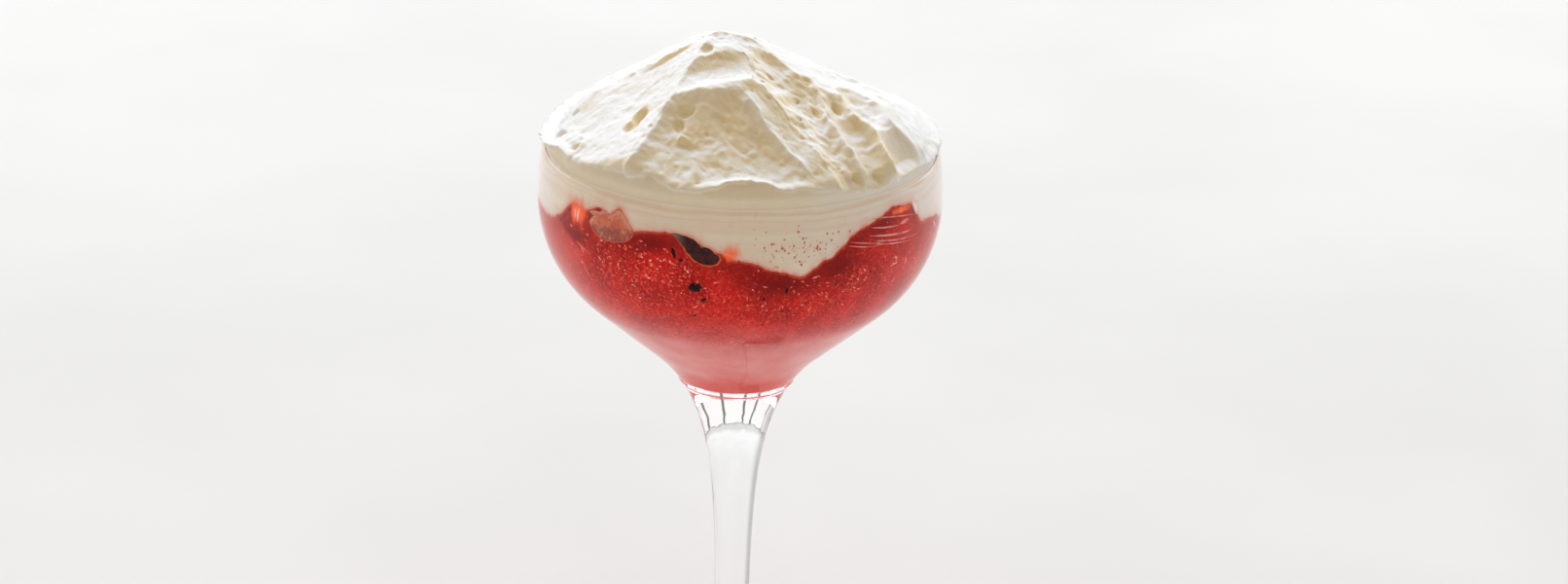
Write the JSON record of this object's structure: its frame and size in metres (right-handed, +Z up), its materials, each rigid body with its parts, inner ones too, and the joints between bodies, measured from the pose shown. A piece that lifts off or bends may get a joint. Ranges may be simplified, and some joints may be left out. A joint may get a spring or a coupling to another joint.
{
  "type": "granita in a coupe glass",
  "caption": "Stemmed coupe glass filled with coarse red fruit granita, with a spooned dome of whipped cream standing over the rim.",
  "frame": {"origin": "centre of the foot's resting plane, under the stem's axis", "axes": "+Z up along the stem and the bowl's axis, -Y towards the front, +X to the right seen from the front"},
  "size_m": [0.098, 0.098, 0.188],
  "materials": {
    "clear_glass": "clear polished glass",
    "red_ice": "wet, coarse crushed ice with fruit",
    "cream": "soft satin foam, torn where it was spooned",
    "dark_fruit": "wet dark skin",
    "pale_fruit": "wet half-clear fruit"
  },
  "bodies": {
    "root": {"coupe_glass": "clear_glass", "granita": "red_ice", "whipped_cream": "cream", "berry_piece": "dark_fruit", "fruit_chunk": "pale_fruit"}
  },
  "joints": []
}
